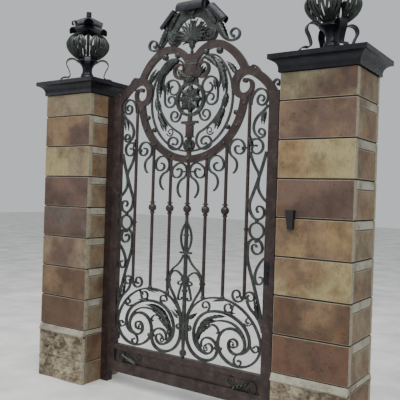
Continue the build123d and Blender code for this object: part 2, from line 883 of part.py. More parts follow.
# Crest on the heart arches: an arch that ends in volutes, side scrolls, a palmette and three rolled tiles
crest_depth = 24
crest_height = 305
drawn_crest = 305
heart_top = 2600
crest_stretch = crest_height / drawn_crest
crest_ridge = raised(heart_top + crest_height)
top_tile_radius = 68
top_tile_length = 225
side_tile_radius = 42
side_tile_length = 158
side_tile_slope = 45
crest_tile_wall = 6
side_tile_middle = on_leaf(205, heart_top + 176 * crest_stretch)


def risen(stations):
    """A centre line of the crest, stretched upward from the hearts' top to the crest's height."""
    line = []
    for x, z, angle in stations:
        height = heart_top + (z - heart_top) * crest_stretch
        line.append((x, height, math.atan2(math.sin(angle) * crest_stretch, math.cos(angle))))
    return line


crest = [
    (risen(trail((0, 2825), 2, [(173, -68), (482, 7)])), (85, 85, 76, 40), 0),
    (risen(trail((191, 2672), -59, [(47, -158), (45, -74), (34, -137), (26, -96)])), (38, 24, 16, 12, 9), 7),
    (risen(trail((200, 2745), -78, [(311, 27), (97, 71), (37, 215), (21, 118)])), (40, 20, 12, 10, 9), 12),
]


def tile_web(radius, length, lift):
    """The plate under a rolled tile, from below its middle up to the inside of its crown."""
    reach = math.sqrt((radius - crest_tile_wall) ** 2 - (crest_depth / 2) ** 2) - seat
    return Pos(0, (reach - lift) / 2) * Rectangle(length, reach + lift)


def crest_tile(radius, length):
    outer = Circle(radius) - Circle(radius - crest_tile_wall)
    lower = Pos(0, -radius * 1.25) * Rectangle(3 * radius, 2 * radius)
    return extrude(Plane.YZ * (outer - lower), length / 2, both=True)


side_web = (
    Pos(side_tile_middle.X, side_tile_middle.Y)
    * Rot(0, 0, -side_tile_slope)
    * tile_web(side_tile_radius, side_tile_length - 20, side_tile_radius)
)
top_web = Pos(0, crest_ridge - top_tile_radius) * tile_web(top_tile_radius, top_tile_length - 30, 10)
crest_faces = both_sides([*scrolls(crest), side_web])
write("crest_scrolls", *forge([*crest_faces, top_web], crest_depth, arch_cut))
top_place = Pos(0, leaf_middle, crest_ridge - top_tile_radius)
top_tile = top_place * crest_tile(top_tile_radius, top_tile_length)
side_place = Pos(side_tile_middle.X, leaf_middle, side_tile_middle.Y) * Rot(0, side_tile_slope, 0)
side_tile = side_place * crest_tile(side_tile_radius, side_tile_length)
write("crest_tiles", top_tile.solid(), side_tile.solid(), mirrored(side_tile.solid()))

baluster = (
    (0, 2523),
    (9, 2525),
    (14, 2536),
    (9, 2548),
    (11, 2556),
    (22, 2572),
    (24, 2590),
    (31, 2598),
    (31, 2608),
    (25, 2612),
    (30, 2624),
    (0, 2624),
)
baluster_corners = [(x, raised(z)) for x, z in baluster]
turned_baluster = revolve(Plane.XZ * make_face(Polyline(*baluster_corners, close=True)), Axis.Z)
arch_space = Part() + forge(arch_cut, band_depth + 4 * collar_radius)
fronds = [
    (risen(trail((0, 2600), 90, [(4600, 2)])), (18, 32, 26, 6), 0),
    (risen(trail((6, 2602), 80, [(200, -48)])), (14, 28, 22, 6), 0),
    (risen(trail((12, 2604), 66, [(160, -62)])), (14, 28, 22, 6), 0),
    (risen(trail((16, 2606), 46, [(100, -62)])), (14, 26, 20, 6), 0),
]
crest_cut = both_sides([*scrolls(crest, seat), side_web])
fan_solid = Part() + forge(both_sides(scrolls(fronds)), fine_bar_depth, crest_cut)
palmette = (Pos(0, leaf_middle, 0) * turned_baluster + fan_solid) - arch_space
write("crest_palmette", *palmette.solids())


# Hinges: barrels behind the left stile, the fixed half on the jamb below the leaf's half
def barrel(foot, top):
    return Pos(hinge_x, hinge_y, foot) * Cylinder(
        hinge_radius, top - foot, align=(Align.CENTER, Align.CENTER, Align.MIN)
    )


lug_side = -half_opening + lug_inset
web_side = -leaf_half + hinge_lap
hinge_back = hinge_y + hinge_radius
fixed_hinges = []
moving_hinges = []
for height in hinge_heights:
    lug = block((lug_side, hinge_x), (jamb_back, hinge_back), (height - hinge_length, height))
    fixed_hinges.append(lug + barrel(height - hinge_length, height))
    foot = height + hinge_gap
    top = foot + hinge_length
    strap = block((hinge_x, web_side), (hinge_y - hinge_radius, hinge_back), (foot, top))
    web = block((-leaf_half, web_side), (leaf_back, hinge_back), (foot, top))
    moving_hinges.append(strap + web + barrel(foot, top))
write("jamb_hinge_halves", *fixed_hinges)
write("leaf_hinge_halves", *moving_hinges)


# Lock: a plate with a cylinder boss on the street face of the right stile
def lock_plate():
    middle = leaf_half - lock_inset
    plate = block(
        (middle - lock_plate_width / 2, middle + lock_plate_width / 2),
        (leaf_face - lock_plate_thickness, leaf_face),
        (lock_height - lock_plate_height / 2, lock_height + lock_plate_height / 2),
    )
    boss = Cylinder(keyhole_boss_radius, keyhole_boss_length + lock_plate_thickness)
    reach = leaf_face - (keyhole_boss_length + lock_plate_thickness) / 2
    return plate + Pos(middle, reach, lock_height) * Rot(90, 0, 0) * boss


write("lock_plate", lock_plate())
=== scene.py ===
"""Garden gateway: materials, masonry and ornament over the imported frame. Metres, Z up."""

import json
import math
import random

import bmesh
import bpy
from mathutils import Matrix, Vector, noise


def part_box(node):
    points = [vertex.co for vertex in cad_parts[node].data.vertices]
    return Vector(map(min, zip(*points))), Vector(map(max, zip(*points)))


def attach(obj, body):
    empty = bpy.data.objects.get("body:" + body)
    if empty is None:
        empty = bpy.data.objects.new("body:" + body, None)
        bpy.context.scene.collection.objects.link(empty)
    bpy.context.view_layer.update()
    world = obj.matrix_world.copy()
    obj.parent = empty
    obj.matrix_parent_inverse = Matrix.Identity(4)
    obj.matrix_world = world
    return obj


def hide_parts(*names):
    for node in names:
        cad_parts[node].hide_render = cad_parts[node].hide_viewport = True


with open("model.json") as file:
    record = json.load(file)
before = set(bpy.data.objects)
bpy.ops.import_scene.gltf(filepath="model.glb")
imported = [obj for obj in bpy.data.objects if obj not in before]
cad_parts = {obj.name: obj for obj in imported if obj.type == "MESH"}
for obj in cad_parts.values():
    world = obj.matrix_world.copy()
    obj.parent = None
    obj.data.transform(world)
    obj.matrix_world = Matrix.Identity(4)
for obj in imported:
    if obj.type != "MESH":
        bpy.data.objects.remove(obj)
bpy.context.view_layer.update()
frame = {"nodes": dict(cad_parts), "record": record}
nodes = frame["nodes"]
scene = bpy.context.scene


# Camera
def add_camera():
    """The photograph's own place, height and lens, with its slight roll."""
    place = Vector((2.437, -3.453, 1.499))
    yaw, pitch, roll = -0.59422, -0.00739, 0.03091
    level_share = math.cos(pitch)
    forward = Vector((math.sin(yaw) * level_share, math.cos(yaw) * level_share, math.sin(pitch)))
    level = Vector((math.cos(yaw), -math.sin(yaw), 0))
    upward = level.cross(forward)
    right = level * math.cos(roll) + upward * math.sin(roll)
    up = upward * math.cos(roll) - level * math.sin(roll)
    data = bpy.data.cameras.new("photo_camera")
    data.lens = 52.51
    data.sensor_width = 36
    data.clip_end = 200
    camera = bpy.data.objects.new("photo_camera", data)
    axes = Matrix((right, up, -forward)).transposed()
    camera.matrix_world = Matrix.Translation(place) @ axes.to_4x4()
    scene.collection.objects.link(camera)
    scene.camera = camera


# Node helpers
class Nodes:
    """A short way to write a material's node tree."""

    def __init__(self, name):
        self.material = bpy.data.materials.new(name)
        self.material.use_nodes = True
        self.tree = self.material.node_tree
        self.tree.nodes.clear()
        self.shader = self.tree.nodes.new("ShaderNodeBsdfPrincipled")
        output = self.tree.nodes.new("ShaderNodeOutputMaterial")
        self.tree.links.new(self.shader.outputs["BSDF"], output.inputs["Surface"])
        self.place = self.tree.nodes.new("ShaderNodeTexCoord").outputs["Object"]

    def add(self, kind, inputs=None, **settings):
        node = self.tree.nodes.new(kind)
        for key, value in settings.items():
            setattr(node, key, value)
        for key, value in (inputs or {}).items():
            self.set(node.inputs[key], value)
        return node

    def set(self, socket, value):
        if isinstance(value, bpy.types.NodeSocket):
            self.tree.links.new(value, socket)
        elif socket.type == "RGBA":
            socket.default_value = (*value, 1)
        else:
            socket.default_value = value

    def noise(self, scale, detail=4.0, roughness=0.5, seed=None, place=None):
        inputs = {"Vector": place or self.place, "Scale": scale, "Detail": detail, "Roughness": roughness}
        if seed is None:
            return self.add("ShaderNodeTexNoise", inputs).outputs["Fac"]
        node = self.add("ShaderNodeTexNoise", noise_dimensions="4D")
        for key, value in {**inputs, "W": seed}.items():
            self.set(node.inputs[key], value)
        return node.outputs["Fac"]

    def ramp(self, value, stops):
        node = self.add("ShaderNodeValToRGB", {"Fac": value})
        ramp = node.color_ramp
        while len(ramp.elements) < len(stops):
            ramp.elements.new(0.5)
        for element, (position, colour) in zip(ramp.elements, stops):
            element.position = position
            element.color = (*colour, 1)
        return node.outputs["Color"]

    def remap(self, value, low, high, to_low=0.0, to_high=1.0):
        inputs = {"Value": value, "From Min": low, "From Max": high, "To Min": to_low, "To Max": to_high}
        return self.add("ShaderNodeMapRange", inputs).outputs["Result"]

    def maths(self, operation, a, b):
        return self.add("ShaderNodeMath", {0: a, 1: b}, operation=operation).outputs["Value"]

    def mix(self, share, a, b, blend="MIX"):
        node = self.add("ShaderNodeMix", data_type="RGBA", blend_type=blend)
        sockets = {socket.identifier: socket for socket in node.inputs}
        self.set(sockets["Factor_Float"], share)
        self.set(sockets["A_Color"], a)
        self.set(sockets["B_Color"], b)
        return {socket.identifier: socket for socket in node.outputs}["Result_Color"]

    def bump(self, height, strength, distance, normal=None):
        inputs = {"Height": height, "Strength": strength, "Distance": distance}
        if normal:
            inputs["Normal"] = normal
        return self.add("ShaderNodeBump", inputs).outputs["Normal"]

    def attribute(self, name, output="Color"):
        return self.add("ShaderNodeAttribute", attribute_name=name).outputs[output]

    def finish(self, **sockets):
        for key, value in sockets.items():
            self.set(self.shader.inputs[key.replace("_", " ")], value)
        return self.material


def iron_material(name, dark, light, verdigris, roughness):
    """Painted or forged iron: cloudy colour, a patina in patches and a faintly hammered surface."""
    shade = Nodes(name)
    clouds = shade.noise(9, 6, 0.6)
    colour = shade.ramp(clouds, [(0.35, dark), (0.7, light)])
    spots = shade.remap(shade.noise(22, 8, 0.7), 0.5, 0.72)
    colour = shade.mix(spots, colour, verdigris)
    rough = shade.remap(shade.noise(60, 3, 0.5), 0.3, 0.7, roughness - 0.08, roughness + 0.14)
    hammer = shade.bump(shade.noise(85, 2, 0.5), 0.35, 0.0025)
    fine = shade.bump(shade.noise(900, 2, 0.6), 0.12, 0.0004, hammer)
    return shade.finish(
        Base_Color=colour, Metallic=0.35, Roughness=rough, Specular_IOR_Level=0.42, Normal=fine
    )


# Tones of the stone's stains, pits, sawn edges and clouds, and of painted light on chamfers and split faces
stain_tone = (0.036, 0.02, 0.015)
rust_tone = (0.15, 0.062, 0.024)
streak_tone = (0.05, 0.034, 0.024)
grain_tone = (0.3, 0.25, 0.17)
pit_tone = (0.022, 0.014, 0.01)
# Pale tones of the sawn sides, also used on the chamfers as painted highlight
sawn_and_highlight_tones = ((0.3, (0.15, 0.13, 0.09)), (0.62, (0.34, 0.31, 0.23)))
cloud_shades = ((0.32, (0.56, 0.5, 0.48)), (0.5, (0.9, 0.88, 0.86)), (0.68, (1.0, 1.0, 0.98)))
# Painted shade in a split face's hollows
painted_hollow_shade = (0.05, 0.043, 0.034)
# Painted highlight on a split face's ridges
painted_ridge_highlight = (0.5, 0.44, 0.31)


def stone_material(name, split=0.0):
    """Cast sandstone: two tones in clouds, stains, rust, pits, pale sawn edges, painted highlight on
    chamfers, and a split's relief with painted shade in its hollows and painted highlight on its ridges.
    """
    shade = Nodes(name)
    seed = shade.attribute("seed", "Fac")
    tall = shade.add("ShaderNodeMapping", {"Vector": shade.place, "Scale": (1, 1, 0.35)}).outputs["Vector"]
    flat = shade.add("ShaderNodeMapping", {"Vector": shade.place, "Scale": (1, 1, 2.4)}).outputs["Vector"]
    broad = shade.noise(3.6, 3, 0.55, seed)
    colour = shade.mix(shade.remap(broad, 0.42, 0.58), shade.attribute("tone"), shade.attribute("patch"))
    cloud = shade.noise(8, 6, 0.66, seed)
    colour = shade.mix(1.0, colour, shade.ramp(cloud, cloud_shades), "MULTIPLY")
    stain = shade.remap(shade.noise(4.6, 5, 0.62, shade.maths("ADD", seed, 17.0)), 0.5, 0.68, 0.0, 0.7)
    colour = shade.mix(stain, colour, stain_tone)
    rust = shade.remap(shade.noise(7.5, 5, 0.65, shade.maths("ADD", seed, 40.0)), 0.55, 0.7, 0.0, 0.6)
    colour = shade.mix(rust, colour, rust_tone)
    streak = shade.noise(75, 4, 0.6, place=tall)
    colour = shade.mix(shade.remap(streak, 0.5, 0.72, 0.0, 0.4), colour, streak_tone)
    grain = shade.noise(280, 5, 0.75)
    colour = shade.mix(shade.remap(grain, 0.42, 0.7, 0.0, 0.16), colour, grain_tone)
    speck = shade.noise(55, 7, 0.72)
    # Pale sawn sides, and a painted highlight on the chamfers
    colour = shade.mix(shade.attribute("sawn_and_highlight", "Fac"), colour, shade.ramp(speck, sawn_and_highlight_tones))
    pitted = shade.remap(shade.noise(5, 2, 0.5, shade.maths("ADD", seed, 70.0)), 0.42, 0.56)
    pits = shade.maths("MULTIPLY", shade.remap(shade.noise(42, 4, 0.6, place=flat), 0.63, 0.68), pitted)
    colour = shade.mix(shade.maths("MULTIPLY", pits, 0.85), colour, pit_tone)
    rough = shade.remap(speck, 0.3, 0.7, 0.5, 0.85)
    normal = shade.bump(cloud, 0.3, 0.004)
    if split:
        # A split face: painted shade in the crags' hollows and painted highlight on their ridges, over the
        # same crags as bump
        crags = shade.noise(21, 9, 0.7)
        colour = shade.mix(shade.remap(crags, 0.36, 0.52, 0.8, 0.0), colour, painted_hollow_shade)
        colour = shade.mix(shade.remap(crags, 0.54, 0.66, 0.0, 0.55), colour, painted_ridge_highlight)
        normal = shade.bump(crags, 1.0, split, normal)
    normal = shade.bump(speck, 0.4, 0.0018, normal)
    normal = shade.bump(shade.maths("SUBTRACT", 1.0, pits), 0.6, 0.0015, normal)
    normal = shade.bump(grain, 0.35, 0.0006, normal)
    return shade.finish(Base_Color=colour, Roughness=rough, Specular_IOR_Level=0.3, Normal=normal)


def plain_material(name, colour, roughness, metallic=0.0, grain=60):
    """One colour in slightly darker and lighter clouds."""
    shade = Nodes(name)
    clouds = shade.noise(grain, 5, 0.6)
    dark = tuple(value * 0.8 for value in colour)
    light = tuple(min(value * 1.25, 1) for value in colour)
    shades = shade.ramp(clouds, [(0.3, dark), (0.7, light)])
    rough = shade.remap(clouds, 0.3, 0.7, roughness - 0.06, roughness + 0.08)
    return shade.finish(Base_Color=shades, Roughness=rough, Metallic=metallic)


brown_tones = ((0.024, 0.016, 0.015), (0.054, 0.037, 0.034), (0.085, 0.058, 0.05))
patina_tones = ((0.018, 0.019, 0.018), (0.05, 0.052, 0.047), (0.07, 0.102, 0.088))
black_tones = ((0.004, 0.004, 0.007), (0.01, 0.01, 0.015), (0.024, 0.024, 0.032))
# A lighter copy of the patina: painted highlight for the kick panel's fingers
painted_highlight_tones = ((0.06, 0.068, 0.062), (0.14, 0.155, 0.14), (0.19, 0.23, 0.2))
iron = iron_material("brown_iron", *brown_tones, 0.38)
patina = iron_material("patinated_iron", *patina_tones, 0.36)
black = iron_material("black_metal", *black_tones, 0.36)
painted_highlight_iron = iron_material("painted_highlight_patina", *painted_highlight_tones, 0.34)
stone = stone_material("sandstone")
# The split stone carries painted shade in its hollows and painted highlight on its ridges
split_stone = stone_material("split_stone", 0.02)
mortar = plain_material("joint_mortar", (0.02, 0.016, 0.013), 0.95)
lamp_metal = plain_material("lamp_housing", (0.01, 0.01, 0.012), 0.5, 0.2)
finishes = {
    "brown_iron": iron,
    "patinated_iron": patina,
    "black_metal": black,
    "sandstone": stone,
    "split_stone": split_stone,
    "lamp_housing": lamp_metal,
}


edge_round = 0.003
sharp_turn = math.radians(40)


def dress_cad_nodes():
    """Each CAD node gets its slot's material and a small round on its edges."""
    for part in frame["record"]["subparts"]:
        node = nodes[part["node"]]
        node.data.materials.clear()
        node.data.materials.append(finishes[part["material_slot"]])
        bevel = node.modifiers.new("forged_edge", "BEVEL")
        bevel.width = edge_round
        bevel.segments = 2
        bevel.limit_method = "ANGLE"
        bevel.angle_limit = sharp_turn


# Mesh helpers
def new_piece(name, mesh, materials, body):
    """A finished mesh as a piece that rides on a body."""
    data = bpy.data.meshes.new(name)
    mesh.normal_update()
    mesh.to_mesh(data)
    mesh.free()
    for material in materials:
        data.materials.append(material)
    piece = bpy.data.objects.new(name, data)
    scene.collection.objects.link(piece)
    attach(piece, body)
    return piece


def solid_sheet(mesh, rows, columns, front, back, smooth=True):
    """A closed sheet between two surfaces, each a function of u from -1 to 1 and v from 0 to 1."""
    grids = []
    for surface in (front, back):
        grid = []
        for j in range(rows + 1):
            line = [surface(2 * i / columns - 1, j / rows) for i in range(columns + 1)]
            grid.append([mesh.verts.new(point) for point in line])
        grids.append(grid)
    top, under = grids
    faces = []
    for j in range(rows):
        for i in range(columns):
            faces.append((top[j][i], top[j][i + 1], top[j + 1][i + 1], top[j + 1][i]))
            faces.append((under[j][i], under[j + 1][i], under[j + 1][i + 1], under[j][i + 1]))
    rim = [(0, i) for i in range(columns)]
    rim += [(j, columns) for j in range(rows)]
    rim += [(rows, columns - i) for i in range(columns)]
    rim += [(rows - j, 0) for j in range(rows)]
    for (j, i), (next_j, next_i) in zip(rim, rim[1:] + rim[:1]):
        faces.append((top[next_j][next_i], top[j][i], under[j][i], under[next_j][next_i]))
    for corners in faces:
        mesh.faces.new(corners).smooth = smooth


def swept(mesh, points, radii, depth=1.0, steps=12):
    """A bar through points, with a radius at each one and its depth as a share of that radius."""
    rings = []
    side = Vector((0, -1, 0))
    for index, point in enumerate(points):
        before = points[max(index - 1, 0)]
        after = points[min(index + 1, len(points) - 1)]
        along_bar = (after - before).normalized()
        out = (side - along_bar * side.dot(along_bar)).normalized()
        across = along_bar.cross(out)
        ring = []
        for step in range(steps):
            angle = 2 * math.pi * step / steps
            outward = across * math.cos(angle) + out * math.sin(angle) * depth
            ring.append(mesh.verts.new(point + outward * radii[index]))
        rings.append(ring)
    for inner, outer in zip(rings, rings[1:]):
        for step in range(steps):
            after = (step + 1) % steps
            mesh.faces.new((inner[step], inner[after], outer[after], outer[step])).smooth = True
    mesh.faces.new(rings[0][::-1])
    mesh.faces.new(rings[-1])


def turned(mesh, axis, profile, steps):
    """A form turned about a vertical axis from (reach, height) points whose ends lie on the axis."""
    rings = []
    for reach, height in profile[1:-1]:
        ring = []
        for step in range(steps):
            angle = 2 * math.pi * step / steps
            place = axis + Vector((reach * math.cos(angle), reach * math.sin(angle), height))
            ring.append(mesh.verts.new(place))
        rings.append(ring)
    foot = mesh.verts.new(axis + Vector((0, 0, profile[0][1])))
    top = mesh.verts.new(axis + Vector((0, 0, profile[-1][1])))
    for step in range(steps):
        after = (step + 1) % steps
        mesh.faces.new((foot, rings[0][after], rings[0][step])).smooth = True
        mesh.faces.new((top, rings[-1][step], rings[-1][after])).smooth = True
        for inner, outer in zip(rings, rings[1:]):
            mesh.faces.new((inner[step], inner[after], outer[after], outer[step])).smooth = True


def dome(mesh, place, radius, height, steps=20):
    """A rivet head or boss that stands out along the place's Z."""
    rings = []
    for level in range(5):
        turn = level / 5 * math.pi / 2
        reach = radius * math.cos(turn)
        rise = height * math.sin(turn)
        ring = []
        for step in range(steps):
            angle = 2 * math.pi * step / steps
            point = Vector((reach * math.cos(angle), reach * math.sin(angle), rise))
            ring.append(mesh.verts.new(place @ point))
        rings.append(ring)
    top = mesh.verts.new(place @ Vector((0, 0, height)))
    for step in range(steps):
        after = (step + 1) % steps
        mesh.faces.new((top, rings[-1][step], rings[-1][after])).smooth = True
        for inner, outer in zip(rings, rings[1:]):
            mesh.faces.new((inner[step], inner[after], outer[after], outer[step])).smooth = True
    mesh.faces.new(rings[0][::-1])


def flat_bar(mesh, points, width, thickness):
    """A strip bent through points of one plane across X, with its width along X."""
    rings = []
    for index, point in enumerate(points):
        before = points[max(index - 1, 0)]
        after = points[min(index + 1, len(points) - 1)]
        along_bar = (after - before).normalized()
        out = Vector((1, 0, 0)).cross(along_bar) * thickness / 2
        side = Vector((width / 2, 0, 0))
        corners = (out - side, out + side, -out + side, -out - side)
        rings.append([mesh.verts.new(point + corner) for corner in corners])
    for inner, outer in zip(rings, rings[1:]):
        for step in range(4):
            after = (step + 1) % 4
            mesh.faces.new((inner[step], inner[after], outer[after], outer[step])).smooth = step in (0, 2)
    mesh.faces.new(rings[0][::-1])
    mesh.faces.new(rings[-1])


def double(mesh, plane, axis):
    """Adds the mesh's mirror image in the plane across an axis, 0 for X and 1 for Y."""
    copies = bmesh.ops.duplicate(mesh, geom=mesh.verts[:] + mesh.edges[:] + mesh.faces[:])["geom"]
    faces = [item for item in copies if isinstance(item, bmesh.types.BMFace)]
    for item in copies:
        if isinstance(item, bmesh.types.BMVert):
            item.co[axis] = 2 * plane - item.co[axis]
    bmesh.ops.reverse_faces(mesh, faces=faces)


def unique(items):
    """The items without repeats, in the order in which they come."""
    return list(dict.fromkeys(items))


# The leaf's own places and leaf forms
leaf_low, leaf_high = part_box("right_stile")
leaf_middle = (leaf_low.y + leaf_high.y) / 2


def lobed_width(u, v, lobes):
    """Half width of an acanthus leaf, from 0 to 1, with lobes that sweep towards its tip."""
    body = math.sin(math.pi * min(0.06 + 0.94 * v, 1.0) ** 0.85) ** 0.75
    notch = abs(math.sin(math.pi * lobes * (v + 0.18 * abs(u))))
    return body * (0.66 + 0.34 * notch)


def leaf(mesh, place, length, width, lobes, lift, bend=0.0, thickness=0.003):
    """A veined acanthus leaf: Y along it, X across and Z out of the surface that carries it."""

    def spine(v):
        if abs(bend) < 1e-4:
            return 0.0, length * v, 0.0
        turn = bend * v
        radius = length / bend
        return radius * (math.cos(turn) - 1), radius * math.sin(turn), turn

    def surface(offset):
        def point(u, v):
            x, y, turn = spine(v)
            across = u * width / 2 * lobed_width(u, v, lobes)
            rib = 0.35 * lift * (1 - abs(u)) ** 2
            vein = 0.22 * lift * abs(math.cos(math.pi * lobes * (v + 0.18 * abs(u)))) * (1 - 0.4 * abs(u))
            crown = lift * (0.25 + math.sin(math.pi * v) * 0.6 - 0.25 * u * u + 0.4 * v * v)
            height = crown + rib + vein + offset
            local = Vector((x + across * math.cos(turn), y + across * math.sin(turn), height))
            return place @ local

        return point

    solid_sheet(mesh, 6 * lobes, 12, surface(thickness), surface(0.0))


def on_street(x, z, heading, lift):
    """A place on the street side of the leaf: Y of the place runs along the heading, in degrees."""
    ahead = Vector((math.cos(math.radians(heading)), 0, math.sin(math.radians(heading))))
    out = Vector((0, -1, 0))
    across = ahead.cross(out)
    axes = Matrix((across, ahead, out)).transposed().to_4x4()
    return Matrix.Translation((x, leaf_middle - lift, z)) @ axes


# Masonry: sawn slabs round a dark core
slab_thickness = 0.036
slab_gap = 0.001
slab_wear = 0.0009
long_edge = 0.06
side_thickness = 0.03
side_step = 0.002
side_arris = 0.006
core_inset = 0.008
core_wave = 0.0015
joint = 0.007
band_height = 0.055
band_gap = 0.002
full_courses = 7
# The back of a pillar takes its tones from the course that many below
back_shift = 3
# How square to an axis a face's normal has to be to count as flat
square_share = 0.98
# The height of a course and of the base, in the same unit: only their ratio counts
course_size = 240
base_size = 420

# The split base: its joint, its relief, the grid of its faces, and the pieces at its sides
rock_joint = 0.174
rock_depth = 0.030
rock_margin = 0.014
rock_rows = 64
rock_columns = 76
groove_half = 0.013
front_depth = 0.03
side_foot_top = 0.169
side_head_foot = 0.176
side_head_drop = 0.04
side_ledge_drop = 0.036
side_ledge_inset = 0.004
ledge_height = 0.044
ledge_inset = 0.002

mauve = (0.13, 0.08, 0.062)
dark_mauve = (0.088, 0.052, 0.044)
ochre = (0.27, 0.18, 0.085)
olive = (0.32, 0.27, 0.135)
tan = (0.21, 0.135, 0.078)
dark_brown = (0.1, 0.058, 0.034)
reddish = (0.125, 0.062, 0.04)
greenish = (0.2, 0.18, 0.105)
blue_grey = (0.12, 0.105, 0.1)
grey_tan = (0.24, 0.19, 0.125)
pale_band = (0.34, 0.33, 0.26)
ledge_tone = (0.42, 0.41, 0.34)
rock_tone = (0.44, 0.38, 0.27)
rock_patch = (0.2, 0.16, 0.11)

# The main tone and the patches of each course, from the bottom slab to the top one
right_tones = (
    (reddish, dark_brown),
    (tan, dark_brown),
    (olive, tan),
    (tan, ochre),
    (dark_mauve, mauve),
    (ochre, olive),
    (mauve, tan),
    (dark_mauve, greenish),
)
left_tones = (
    (dark_brown, mauve),
    (tan, dark_brown),
    (grey_tan, mauve),
    (dark_mauve, blue_grey),
    (dark_mauve, mauve),
    (grey_tan, olive),
    (dark_mauve, tan),
    (greenish, grey_tan),
)


def paint(mesh, faces, tone, patch, seed, sawn_axis=None, edges=0.0):
    """Gives faces a slab's tones, and marks as pale the sawn sides across an axis and, as painted
    highlight, the chamfers.
    """
    tones = mesh.loops.layers.float_color["tone"]
    patches = mesh.loops.layers.float_color["patch"]
    seeds = mesh.loops.layers.float["seed"]
    sawn_and_highlight_layer = mesh.loops.layers.float["sawn_and_highlight"]
    for face in faces:
        face.normal_update()
        pale = 0.0
        # Chamfers take the edges share of the pale tone: painted highlight
        if max(abs(value) for value in face.normal) < square_share:
            pale = edges
        elif sawn_axis is not None and abs(face.normal[sawn_axis]) > square_share:
            pale = 1.0
        for loop in face.loops:
            loop[tones] = (*tone, 1)
            loop[patches] = (*patch, 1)
            loop[seeds] = seed
            loop[sawn_and_highlight_layer] = pale


def stone_mesh():
    mesh = bmesh.new()
    for name in ("tone", "patch"):
        mesh.loops.layers.float_color.new(name)
    for name in ("seed", "sawn_and_highlight"):
        mesh.loops.layers.float.new(name)
    return mesh


def slab(mesh, low, high, tone, patch, seed, sawn_axis=None, arris_width=0.004):
    """One slab: chamfered edges painted pale as a highlight, and faces that are a little uneven."""
    start = len(mesh.faces)
    centre = (Vector(low) + Vector(high)) / 2
    size = Vector(high) - Vector(low)
    place = Matrix.Translation(centre) @ Matrix.Diagonal((*size, 1))
    made = bmesh.ops.create_cube(mesh, size=1, matrix=place)
    edges = unique(edge for vert in made["verts"] for edge in vert.link_edges)
    bmesh.ops.bevel(mesh, geom=edges, offset=arris_width, segments=2, profile=0.6, affect="EDGES")
    mesh.faces.ensure_lookup_table()
    faces = mesh.faces[start:]
    edges = unique(edge for face in faces for edge in face.edges if edge.calc_length() > long_edge)
    bmesh.ops.subdivide_edges(mesh, edges=edges, cuts=7, use_grid_fill=True)
    mesh.faces.ensure_lookup_table()
    faces = mesh.faces[start:]
    # The 0.7 share of pale tone on the chamfers is painted highlight; sawn sides take the full tone
    paint(mesh, faces, tone, patch, seed, sawn_axis, 0.7)
    for vert in unique(vert for face in faces for vert in face.verts):
        wave = noise.noise(vert.co * 9 + Vector((seed, 0, 0))) + 0.5 * noise.noise(vert.co * 31)
        inward = (centre - vert.co).normalized()
        vert.co += inward * slab_wear * (1 + wave)


def course_heights(foot, top):
    """Feet and tops of the courses: full ones of one height, and a lower one at the top."""
    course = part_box("right_pillar_base")[1].z * course_size / base_size
    levels = [foot + course * index for index in range(full_courses + 1)]
    return [*zip(levels, levels[1:]), (levels[-1], top)]


def mortar_core(low, high, inset):
    """The filling behind the slabs, as a box that stands back from them."""
    core = bmesh.new()
    centre = (low + high) / 2
    size = high - low - 2 * inset
    bmesh.ops.create_cube(core, size=1, matrix=Matrix.Translation(centre) @ Matrix.Diagonal((*size, 1)))
    return core


def shaft_sides(mesh, low, high, foot, top, banded, dice):
    """The narrow slab of one course at each side of a shaft, with a pale band on top where it has one."""
    front = low.y + slab_thickness + slab_gap
    back = high.y - slab_thickness - slab_gap
    for inner, outer in ((low.x + side_thickness, low.x), (high.x - side_thickness, high.x)):
        step = side_step if outer > inner else -side_step
        near = min(inner, outer - step)
        far = max(inner, outer - step)
        seed = dice.uniform(0, 100)
        tile_top = top
        if banded:
            tile_top = top - band_height
            band_foot = tile_top + band_gap
            slab(mesh, (near, front, band_foot), (far, back, top), pale_band, ledge_tone, seed)
        slab(mesh, (near, front, foot), (far, back, tile_top), tan, grey_tan, seed, None, side_arris)


def clad_shaft(side, tones, dice):
    """Front and back slabs over the full width, and narrow side slabs with a pale band on each."""
    low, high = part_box(f"{side}_pillar_shaft")
    mesh = stone_mesh()
    for course, (foot, top) in enumerate(course_heights(low.z, high.z)):
        foot += joint / 2
        top -= joint / 2
        tone, patch = tones[course]
        seed = dice.uniform(0, 100)
        slab(mesh, (low.x, low.y, foot), (high.x, low.y + slab_thickness, top), tone, patch, seed, 0)
        tone, patch = tones[course - back_shift]
        seed = dice.uniform(0, 100)
        slab(mesh, (low.x, high.y - slab_thickness, foot), (high.x, high.y, top), tone, patch, seed, 0)
        shaft_sides(mesh, low, high, foot, top, course < full_courses, dice)
    shaft = new_piece(f"{side}_shaft_slabs", mesh, [stone], "posts")
    core = mortar_core(low, high, Vector((core_inset, core_inset, 0)))
    upright = [edge for edge in core.edges if abs(edge.verts[0].co.z - edge.verts[1].co.z) > 0.1]
    bmesh.ops.subdivide_edges(core, edges=upright, cuts=24)
    for vert in core.verts:
        vert.co.x += core_wave * noise.noise(vert.co * 14)
    filling = new_piece(f"{side}_shaft_mortar", core, [mortar], "posts")
    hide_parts(f"{side}_pillar_shaft")
    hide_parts(f"{side}_pillar_shaft")


def rock(x, z, seed):
    """Depth of a split face below its highest bosses, from 0 to 1."""
    point = Vector((x * 9, seed, z * 13))
    broad = noise.noise(point) * 1.1
    middle = abs(noise.noise(point * 2.1 + Vector((5, 0, 0)))) * 0.9
    fine = noise.noise(point * 5.3) * 0.4
    return min(max(0.3 + broad + middle + fine, 0.0), 1.0)


